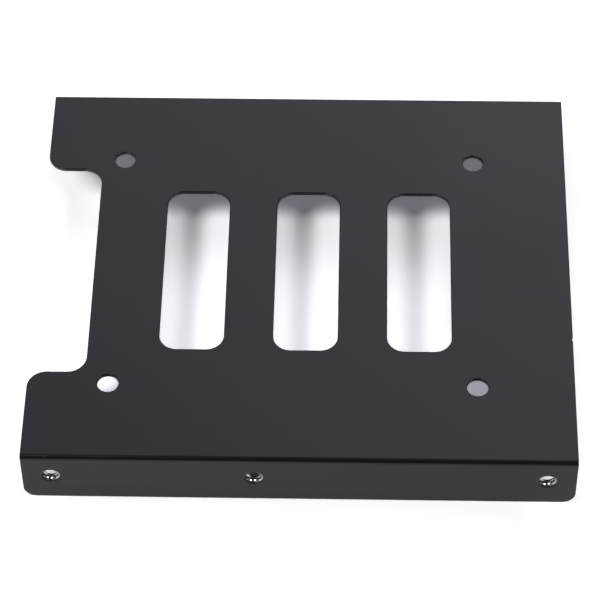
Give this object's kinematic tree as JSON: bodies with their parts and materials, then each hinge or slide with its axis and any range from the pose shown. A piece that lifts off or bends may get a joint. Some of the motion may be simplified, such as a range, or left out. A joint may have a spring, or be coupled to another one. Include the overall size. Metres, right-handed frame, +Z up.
{
  "type": "hard drive mounting bracket",
  "caption": "Folded black sheet-metal bracket that carries a small drive in a larger bay: slotted, notched plate with screw holes and a flange with tapped holes along each side.",
  "frame": {"origin": "on the surface that the flanges stand on, under the middle of the bracket's box", "axes": "+X along the plate and both folds, away from the notch; +Y across the plate; +Z up to its outer face"},
  "size_m": [0.1136, 0.1002, 0.0136],
  "materials": {
    "black_coat": "smooth satin black coat on steel sheet",
    "bare_thread": "steel bared where the tap cut through the coat; only the threads added for looks use it"
  },
  "bodies": {
    "root": {"bracket": "black_coat"}
  },
  "joints": []
}
